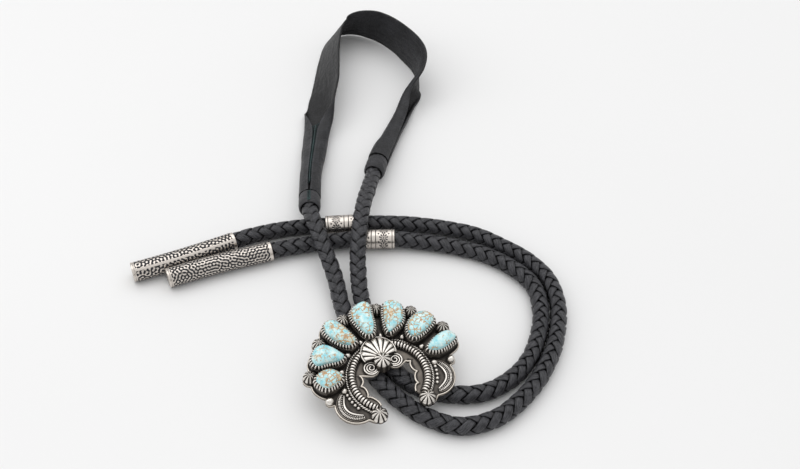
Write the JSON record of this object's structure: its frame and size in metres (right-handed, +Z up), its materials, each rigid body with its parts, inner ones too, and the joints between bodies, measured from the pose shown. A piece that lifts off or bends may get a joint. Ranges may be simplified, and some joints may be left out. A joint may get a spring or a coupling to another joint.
{
  "type": "bolo tie",
  "caption": "Leather bolo tie: braided cords joined by a flat neck strap, a crescent silver and turquoise slide ornament, stamped beads and end tips, worn round a collar.",
  "frame": {"origin": "on the lying surface, under the ornament's slide, midway between the two cords there", "axes": "+X to the ornament's right, +Y from the tips towards the neck strap along the lying tie, +Z up from the surface"},
  "size_m": [0.1718, 0.2477, 0.02],
  "materials": {
    "cord_leather": "charcoal black leather strands in a round braid, soft sheen",
    "strap_leather": "charcoal black smooth leather, thin lighter cut edge, stitched seam",
    "silver": "oxidised silver, dark in the recesses and bright on the worn edges",
    "turquoise": "polished pale turquoise with a golden brown web of matrix",
    "clasp_metal": "plain dull silver"
  },
  "bodies": {
    "root": {"neck_strap": "strap_leather", "collar_left": "strap_leather", "collar_right": "strap_leather", "cord_left": "cord_leather", "cord_right": "cord_leather", "ornament": "silver", "bead_left": "silver", "bead_right": "silver", "tip_left": "silver", "tip_right": "silver", "slide_clasp": "clasp_metal", "stone_1": "turquoise", "stone_2": "turquoise", "stone_3": "turquoise", "stone_4": "turquoise", "stone_5": "turquoise", "stone_6": "turquoise", "stone_7": "turquoise"}
  },
  "joints": []
}
